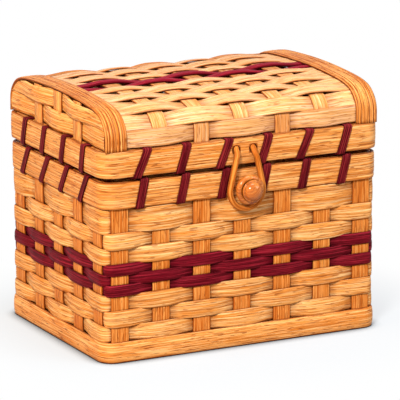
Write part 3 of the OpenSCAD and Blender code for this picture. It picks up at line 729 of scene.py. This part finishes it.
def rounded_profile(z_start, n):
    """The lid's profile as a smooth line in (y, z), a distance n outside the stakes' middle."""
    bends = [np.array((-WALL_Y, z_start))] + PROFILE[1:HALF_ROWS]
    bends += [np.array((-p[0], p[1])) for p in reversed(bends)]
    points = []
    for last, p, following in zip(bends, bends[1:], bends[2:]):
        before, after = last - p, following - p
        reach = 0.46 * min(np.linalg.norm(before), np.linalg.norm(after), 11)
        a, b = p + unit(before) * reach, p + unit(after) * reach
        points += [(1 - f) ** 2 * a + 2 * f * (1 - f) * p + f * f * b for f in np.linspace(0, 1, 7)]
    first, final = bends[0], bends[-1]
    lead = [first + (points[0] - first) * f for f in (0, 0.33, 0.66)]
    tail = [points[-1] + (final - points[-1]) * f for f in (0.33, 0.66, 1)]
    points = np.array(lead + points + tail)
    ahead = unit(np.gradient(points, axis=0))
    return points + np.stack([-ahead[:, 1], ahead[:, 0]], 1) * n


def stake_shade(y):
    """Painted shade on a lid stake under the rows: least on the slope behind the front row, most towards the
    back.
    """
    front, slope = PROFILE[1][0], PROFILE[2][0]
    places = [front, front + 2, slope, slope + 3, -0.25 * WALL_Y, -0.15 * WALL_Y]
    return np.interp(y, places, [0.25, 0.04, 0.04, 0.14, 0.2, 0.5])


lid_stake_profile = section(LID_STAKE_W, STAKE_T, edge=0.4, crown=0.05, grooves=6, depth=0.07, seed=8)
lid_stake_profile[:, 2] *= STAKE_GROOVES
stakes = []
for i in range(1, 6):
    path = [(FRONT_X[i], y, z) for y, z in rounded_profile(LID_RIM_Z[0] + STAKE_FOOT, 0)]
    stakes.append(sweep(f"lid_stake_{i}", path, (-1, 0, 0), lid_stake_profile, False, "lid", LID_STAKE,
                        tone=1.0, darkening=[stake_shade(p[1]) for p in path]))
join(stakes, "lid_stakes", slot="natural_reed")

edge_w = LID_END - BAND_X[0]
edge_profile = section(edge_w, STAKE_T, edge=0.4, grooves=4, depth=0.06, seed=3)
edges = []
for side in (-1, 1):
    path = [(side * (BAND_X[0] + edge_w / 2), y, z) for y, z in rounded_profile(LID_RIM_Z[1] + 0.8, -1.2)]
    edges.append(sweep(f"edge_stake_{side + 1}", path, (-1, 0, 0), edge_profile, False, "lid", STAKE))
join(edges, "lid_edge_stakes", slot="natural_reed")


# Lid rows. ROW_SHIFT moves rows back, ROW_TRIM narrows them and BACK_TUCK widens those at the back.

BURGUNDY_LID_ROWS = (8, 9)
TIGHT_ROWS = (7, 10)
ROW_SHIFT = {7: -1.5, 8: -1.7, 9: 1.7, 10: 0.6}
ROW_TRIM = {7: 2.6, 10: 2.0}
BACK_TUCK = {11: 0.5, 12: 1.0, 13: 1.4, 14: 2.5, 15: 3.3, 16: 2.4}
ROW_TUCK = 0.1
LID_SWELL = 1.18
TIGHT_SWELL = 0.9
DYED_SWELL = 1.3
DYED_DIVE = 0.7
DYED_TRIM = 0.5
DYED_THICKER = 0.5
BAND_CLEAR = 0.3
HIDDEN_LEVEL = 0.7
BACK_SHADE = 0.14
LID_DRIFT = 0.22
DRIFT_LENGTH = 400


def lid_weaver(r):
    """Row r of the lid, a straight strip over and under the five stakes, its ends under the edge bands."""
    node = f"lid_weaver_{r}"
    front = r <= HALF_ROWS
    i = r if front else 2 * HALF_ROWS + 1 - r
    slope = math.radians(SLOPES[i - 1])
    middle = (PROFILE[i - 1] + PROFILE[i]) / 2
    along = np.array((math.cos(slope), math.sin(slope)))
    out = np.array((-math.sin(slope), math.cos(slope)))
    if not front:
        middle, out = [np.array((-v[0], v[1])) for v in (middle, out)]
        along = np.array((along[0], -along[1]))
    dyed = r in BURGUNDY_LID_ROWS
    top = LEVEL * (DYED_SWELL if dyed else TIGHT_SWELL if r in TIGHT_ROWS else LID_SWELL)
    bottom = -top * DYED_DIVE if dyed else -top
    tuck = BACK_TUCK.get(r, ROW_TUCK)
    width = PITCHES[i - 1] - ROW_TRIM.get(r, 0) + (-DYED_TRIM if dyed else tuck)
    middle = middle + along * (ROW_SHIFT.get(r, 0) - (tuck - ROW_TUCK) / 3)
    knots = [(-LID_END, 0), (-BAND_X[0] + BAND_CLEAR, 0)]
    knots += [(FRONT_X[s], top if (r + s) % 2 == 0 else bottom) for s in range(1, 6)]
    knots += [(BAND_X[0] - BAND_CLEAR, 0), (LID_END, 0)]
    places = wave(knots)
    levels = [n if abs(x) < BAND_X[0] else HIDDEN_LEVEL for x, n in places]
    profile = row_section(width, WEAVER_T + (DYED_THICKER if dyed else 0), dyed, 40 + r)
    drift = wander(200 + r, LID_DRIFT, DRIFT_LENGTH, 5)
    path = [(x, *(middle + out * n + along * drift(x))) for x, n in places]
    # Painted shade on the rows behind the tight rows, towards the back of the lid.
    shade = BACK_SHADE if r > TIGHT_ROWS[1] else 0
    piece = sweep(node + "_reed", path, (0, *along), profile, False, "lid", LID_BURGUNDY if dyed else LID_REED,
                  widths=swell(levels, top, r, 0.05), darkening=under(levels) + shade)
    join([piece], node, slot="burgundy_reed" if dyed else "natural_reed")


for r in range(1, 2 * HALF_ROWS + 1):
    lid_weaver(r)


# Edge bands and gables

BAND_T = 1.6
BAND_GROOVES = 1.5
GABLE_ROW = 11.4
GABLE_GAP = 0.2
GABLE_FLAT = 8
GABLE_CELLS = 8
GABLE_BOW = 0.25
GABLE_SLIT = 0.9
GABLE_SPREAD = 30

band_w = BAND_X[1] - BAND_X[0]
for side, name in ((-1, "left"), (1, "right")):
    node = f"edge_band_{name}"
    profile = section(band_w, BAND_T, edge=1.2, crown=0.35, grooves=7, depth=0.4, cols=44, seed=70 + side)
    # The bands get stronger painted shade in their grooves.
    profile[:, 2] *= BAND_GROOVES
    line = rounded_profile(LID_RIM_Z[1] + CLEAR, BAND_T)
    path = [(side * (BAND_X[0] + band_w / 2), y, z) for y, z in line]
    # Painted shade: the bands get darker towards the back of the lid.
    painted_back_shade = np.interp(line[:, 0], [-0.9 * WALL_Y, -0.4 * WALL_Y, WALL_Y], [0, 0.13, 0.2])
    piece = sweep(node + "_reed", path, (-1, 0, 0), profile, False, "lid", BAND, darkening=painted_back_shade)
    join([piece], node, slot="rim_reed")


def gable(side, name):
    """One end of the lid: three stakes, and two wide rows, the upper one cut to the line of the roof."""
    ys = END_Y[1:4]
    edge = rounded_profile(LID_RIM_Z[0], 0.4)

    def roof(y):
        return float(np.interp(y, edge[:, 0], edge[:, 1]))

    pieces = []
    for y in ys:
        heights = np.linspace(LID_RIM_Z[0] + STAKE_FOOT, roof(abs(y) + LID_STAKE_W / 2), 12)
        path = [(side * WALL_X, y, z) for z in heights]
        pieces.append(sweep(f"gable_stake_{name}_{y:.0f}", path, (0, side, 0), lid_stake_profile, False,
                            "lid", RIM))
    join(pieces, f"gable_stakes_{name}", slot="natural_reed")
    low = box(f"gable_weavers_{name}")[0][2]
    cells = [s / GABLE_CELLS for s in range(GABLE_CELLS + 1)]
    ring = 2 * len(cells)
    strips = []
    for z0, z1, sign in ((low, low + GABLE_ROW, 1), (low + GABLE_ROW + GABLE_GAP, max(edge[:, 1]), -1)):
        knots = [(-WALL_Y, 0), (-WALL_Y + GABLE_FLAT, 0)]
        knots += [(y, LEVEL * SIDE_SWELL * (sign if i == 1 else -sign)) for i, y in enumerate(ys)]
        knots += [(WALL_Y - GABLE_FLAT, 0), (WALL_Y, 0)]
        grid = wave(knots)
        verts, uvs, faces = [], [], []
        shift = (rng.uniform(0, GABLE_SPREAD), rng.uniform(0, GABLE_SPREAD))
        for y, n in grid:
            slit = GABLE_SLIT * max(0.0, math.sin(0.11 * y + 1.5 * side)) if sign < 0 else 0.0
            top = max(z0 + 0.3, min(z1, roof(y) - 0.15 - slit))
            for f in cells:
                bow = GABLE_BOW * (1 - (2 * f - 1) ** 2)
                verts.append((side * (WALL_X + n + WEAVER_T / 2 + bow), y, z0 + (top - z0) * f))
            verts += [(side * (WALL_X + n - WEAVER_T / 2), y, z0 + (top - z0) * f) for f in reversed(cells)]
        for i in range(len(grid) - 1):
            for s in range(ring):
                e = (s + 1) % ring
                face = [i * ring + s, i * ring + e, (i + 1) * ring + e, (i + 1) * ring + s]
                if side > 0:
                    face.reverse()
                faces.append(face)
                uvs += [((verts[v][1] + shift[0]) / MM, (verts[v][2] + shift[1]) / MM) for v in face]
        tint = np.tile((rng.uniform(0, 1), 0, 0, 1), (len(verts), 1))
        strips.append(make(f"gable_row_{name}_{sign + 1}", verts, faces, uvs, tint, "lid", RIM))
    join(strips, f"gable_weavers_{name}", slot="natural_reed")


gable(-1, "left")
gable(1, "right")


# Hinge rings and clasp. The loop's reed is a little thicker than the solid's, LOOP_CAD_R.

TUBE_SIDES = 20
TUBE_RIDGES = 5
TUBE_GROOVE = 0.035
RING_STEPS = 56
LOOP_R = 1.82
LOOP_CAD_R = 1.65
LOOP_BOW = 0.25


def tube(name, path, radius, closed, body, reference):
    """A round reed along a path, with shallow grooves."""
    angles = np.linspace(0, 2 * math.pi, TUBE_SIDES, endpoint=False)
    radii = radius * (1 - TUBE_GROOVE * np.abs(np.sin(angles * TUBE_RIDGES / 2)) ** 6)
    profile = np.stack([radii * np.cos(angles), radii * np.sin(angles), np.zeros(TUBE_SIDES)], 1)
    return sweep(name, path, reference, profile, closed, body, ROUND)


for name in ("left", "right"):
    node = f"hinge_ring_{name}"
    low, high = box(node)
    hub = (low + high) / 2 - (0, SHIFT_Y, 0)
    thin = (high[0] - low[0]) / 2
    big = (high[1] - low[1]) / 2 - thin
    turns = np.linspace(0, 2 * math.pi, RING_STEPS, endpoint=False)
    path = [hub + (0, big * math.cos(a), big * math.sin(a)) for a in turns]
    join([tube(node + "_reed", path, thin, True, "basket", (1, 0, 0))], node, slot="round_reed")


def clasp_loop():
    """The loop, from one hole out and down, round under the knob and back up to the other hole."""
    low, high = box("clasp_loop")
    bend = (high[0] - low[0]) / 2 - LOOP_CAD_R
    out = LOOP_POS[1] - low[1] - LOOP_CAD_R
    drop = LOOP_POS[2] - low[2] - LOOP_CAD_R - bend
    tangent = math.atan2(drop, LOOP_HOLE_X) - math.acos(bend / math.hypot(LOOP_HOLE_X, drop))
    touch = np.array((bend * math.cos(tangent), out, bend * math.sin(tangent) - drop))
    half = []
    for f in np.linspace(-0.25, 1, 9):
        z = -2 * out * f
        bow = LOOP_BOW * math.sin(math.pi * max(0, f))
        x = LOOP_HOLE_X + (touch[0] - LOOP_HOLE_X) * z / touch[2] - bow
        half.append((x, out * (2 * f - f * f), z))
    root = np.array(half[-1])
    half += [tuple(root + (touch - root) * f) for f in (0.33, 0.66)]
    arc = [(bend * math.cos(a), out, bend * math.sin(a) - drop)
           for a in np.linspace(tangent, -math.pi - tangent, 40)]
    points = half + arc + [(-x, y, z) for x, y, z in reversed(half)]
    path = [(x, LOOP_POS[1] - SHIFT_Y - y, LOOP_POS[2] + z) for x, y, z in points]
    reference = unit(np.cross((0, 1, 0), np.gradient(np.array(path), axis=0)))
    join([tube("clasp_loop_reed", path, LOOP_R, False, "loop", reference)], "clasp_loop", slot="round_reed")


clasp_loop()


def knob():
    """The turned knob: a stem, a rounded flange, a narrow neck and a domed head, as radii and heights."""
    low, high = box("knob")
    z = (low[2] + high[2]) / 2
    back = high[1] - SHIFT_Y
    deep = high[1] - low[1]
    stem_h, flange_t, head_r, neck_h, head_step = 5.25, 4.0, 6.5, 0.6, 1.8
    front = stem_h + flange_t
    head = front + neck_h
    step = head + head_step
    edge = flange_t / 2
    flange_r = (high[0] - low[0]) / 2 - edge
    outline = [(1.55, 0.02), (4.25, 0), (4.4, 0.3), (4.3, 0.9), (4.0, 1.6), (4.0, stem_h - 0.3), (4.3, stem_h)]
    outline += [(flange_r + edge * math.cos(a), stem_h + edge + edge * math.sin(a))
                for a in np.radians(np.arange(-90, 151, 10))]
    neck = len(outline) - 4
    outline += [(head_r - 1.5, front - 0.9), (head_r - 1.5, head - 0.1), (head_r - 0.5, head),
                (head_r - 0.1, head + 0.3)]
    lip = len(outline) - 1
    outline += [(head_r, head + 0.7), (head_r, step - 0.4), (head_r - 0.15, step - 0.1), (head_r - 0.5, step),
                (head_r - 0.9, step - 0.1), (head_r - 1.05, step + 0.1)]
    outline += [((head_r - 1.1) * math.cos(a), step + (deep - step) * math.sin(a))
                for a in np.radians(np.arange(8, 89, 8))]
    outline += [(0.0, deep)]
    sides = 72
    verts, faces, uvs = [], [], []

    def grain(v):
        """Straight grain through the turned wood, running across the knob."""
        x, y, up = verts[v]
        return 1.2 * (0.8 * x + 0.6 * (up - z)) + 5, 0.6 * (0.6 * x - 0.8 * (up - z)) + 0.5 * y

    for r, h in outline:
        for a in 2 * math.pi * np.arange(sides) / sides:
            verts.append((r * math.cos(a), back - h, z + r * math.sin(a)))
    for i in range(len(outline) - 1):
        for s in range(sides):
            e = (s + 1) % sides
            faces.append((i * sides + s, (i + 1) * sides + s, (i + 1) * sides + e, i * sides + e))
            uvs += [grain(v) for v in faces[-1]]
    # Painted shade in the groove between the flange and the head, and lighter painted shade in the ring groove
    # on the head's face.
    neck_and_ring_shade = [1.0 if neck <= i < lip else 0.4 if abs(r - head_r + 0.95) < 0.12 else 0.0
            for i, (r, h) in enumerate(outline)]
    tint = np.array([(0.4, dip, 0, 1) for dip in neck_and_ring_shade for s in range(sides)])
    piece = make("knob_turned", verts, faces, np.array(uvs) / MM, tint, "basket", TURNED)
    join([piece], "knob", slot="turned_wood")


knob()


def steel():
    """Plain steel with a fine variation."""
    mat, tree = new_tree("screw_steel")
    coord = add_node(tree, "ShaderNodeTexCoord")
    noise = add_node(tree, "ShaderNodeTexNoise", {"Vector": coord.outputs["Object"], "Scale": 900})
    ramp = add_node(tree, "ShaderNodeValToRGB", {"Fac": noise.outputs["Fac"]})
    for stop, colour in zip(ramp.color_ramp.elements, ((0.34, 0.34, 0.35, 1), (0.58, 0.58, 0.57, 1))):
        stop.color = colour
    feed(tree, tree.nodes["Principled BSDF"],
         {"Base Color": ramp.outputs["Color"], "Metallic": 1.0, "Roughness": 0.35})
    return mat


screw = frame["nodes"]["knob_screw"]
screw.data.materials.clear()
screw.data.materials.append(steel())


# Studio

FLOOR_HALF = 4
FLOOR_SEEN = (0.51, 0.63, 0.82, 1)
FLOOR_SENT = (0.32, 0.25, 0.18, 1)
FLOOR_FADE = (0.07, 0.185)
FLOOR_LIFT = 0.56
CONTACT_REACH = 0.012
CONTACT_SHADE = (0.35, 0.85)
WHITE = (1, 1, 1, 1)
BLACK = (0, 0, 0, 1)
WORLD_LIGHT = (1.0, 0.76, 0.50, 1)
WORLD_STRENGTH = 0.2
LAMPS = (("key", (-1.00, -1.08, 1.08), 0.08, 0.4, 39, (1.0, 0.85, 0.66)),
         ("left", (-1.45, -0.10, 0.55), 0.08, 0.6, 7, (1.0, 0.55, 0.18)),
         ("top", (0.1, -0.25, 1.6), 0.1, 0.8, 14, (1.0, 0.97, 0.90)),
         ("right", (1.1, -1.2, 0.9), 0.08, 0.8, 9, (1.0, 0.97, 0.93)))
CAMERA_AT = (-0.9724, -1.8912 + SHIFT_Y / MM, 0.6017)
CAMERA_RIGHT = (0.888, -0.459, 0.0)
CAMERA_BACK = (-0.4457, -0.8621, 0.2409)
CAMERA_LENS = 328.9


def split_rays(tree, shown, others, output):
    """Gives one shader to camera, glossy and transmission rays and another to the rest."""
    paths = add_node(tree, "ShaderNodeLightPath").outputs
    either = add_node(tree, "ShaderNodeMath", {0: paths["Is Camera Ray"], 1: paths["Is Glossy Ray"]},
                      operation="MAXIMUM")
    any_of = add_node(tree, "ShaderNodeMath", {0: either.outputs[0], 1: paths["Is Transmission Ray"]},
                      operation="MAXIMUM")
    chosen = add_node(tree, "ShaderNodeMixShader",
                      {0: any_of.outputs[0], 1: others.outputs[0], 2: shown.outputs[0]})
    add_node(tree, output, {"Surface": chosen.outputs[0]})


def floor():
    """A pale floor that fades into the white backdrop a little way from the chest. It sends less light back up
    than it shows, so that the undersides of the weave stay dark. Next to the chest, ambient occlusion paints a
    shadow on it."""
    mat, tree = new_tree("floor_white")
    tree.nodes.clear()
    place = add_node(tree, "ShaderNodeTexCoord")
    away = add_node(tree, "ShaderNodeVectorMath", {0: place.outputs["Object"]}, operation="LENGTH")
    fade = add_node(tree, "ShaderNodeMapRange",
                    {"Value": away.outputs["Value"], "From Min": FLOOR_FADE[0], "From Max": FLOOR_FADE[1],
                     "To Min": FLOOR_LIFT}, interpolation_type="SMOOTHSTEP")
    # Painted shadow: ambient occlusion darkens the floor next to the chest.
    near_chest = add_node(tree, "ShaderNodeAmbientOcclusion", {"Distance": CONTACT_REACH})
    contact_shadow = add_node(tree, "ShaderNodeMapRange",
                       {"Value": near_chest.outputs["AO"], "From Min": CONTACT_SHADE[0],
                        "From Max": CONTACT_SHADE[1]}).outputs["Result"]
    shade = add_node(tree, "ShaderNodeMix", {0: contact_shadow, 6: BLACK, 7: FLOOR_SEEN}, data_type="RGBA")
    lift = add_node(tree, "ShaderNodeMath", {0: contact_shadow, 1: fade.outputs["Result"]}, operation="MULTIPLY")
    seen = add_node(tree, "ShaderNodeBsdfDiffuse", {"Color": shade.outputs[2]})
    glow = add_node(tree, "ShaderNodeEmission", {"Color": WHITE})
    near = add_node(tree, "ShaderNodeMixShader", {0: lift.outputs[0], 1: seen.outputs[0], 2: glow.outputs[0]})
    sent = add_node(tree, "ShaderNodeBsdfDiffuse", {"Color": FLOOR_SENT})
    split_rays(tree, near, sent, "ShaderNodeOutputMaterial")
    mesh = bpy.data.meshes.new("floor")
    corners = [(x * FLOOR_HALF, y * FLOOR_HALF, 0) for x, y in ((-1, -1), (1, -1), (1, 1), (-1, 1))]
    mesh.from_pydata(corners, [], [(0, 1, 2, 3)])
    mesh.materials.append(mat)
    piece = bpy.data.objects.new("floor", mesh)
    bpy.context.scene.collection.objects.link(piece)


floor()

scene = bpy.context.scene
scene.view_settings.view_transform = "Standard"
for name, place, aim, size, power, colour in LAMPS:
    lamp = bpy.data.lights.new(name, "AREA")
    lamp.shape = "DISK"
    lamp.size = size
    lamp.energy = power
    lamp.color = colour
    piece = bpy.data.objects.new(name, lamp)
    scene.collection.objects.link(piece)
    piece.location = place
    piece.rotation_euler = Vector(np.array((0, 0, aim)) - place).to_track_quat("-Z", "Y").to_euler()

scene.world = bpy.data.worlds.new("studio")
scene.world.use_nodes = True
tree = scene.world.node_tree
tree.nodes.clear()
light = add_node(tree, "ShaderNodeBackground", {"Color": WORLD_LIGHT, "Strength": WORLD_STRENGTH})
white = add_node(tree, "ShaderNodeBackground", {"Color": WHITE, "Strength": 1.0})
split_rays(tree, white, light, "ShaderNodeOutputWorld")

lens = bpy.data.cameras.new("camera")
lens.sensor_width = 36
lens.lens = CAMERA_LENS
lens.clip_start = 0.05
camera = bpy.data.objects.new("camera", lens)
scene.collection.objects.link(camera)
right, back = unit(CAMERA_RIGHT), unit(CAMERA_BACK)
up = np.cross(back, right)
rotation = Matrix([[right[i], up[i], back[i]] for i in range(3)]).to_4x4()
camera.matrix_world = Matrix.Translation(CAMERA_AT) @ rotation
scene.camera = camera
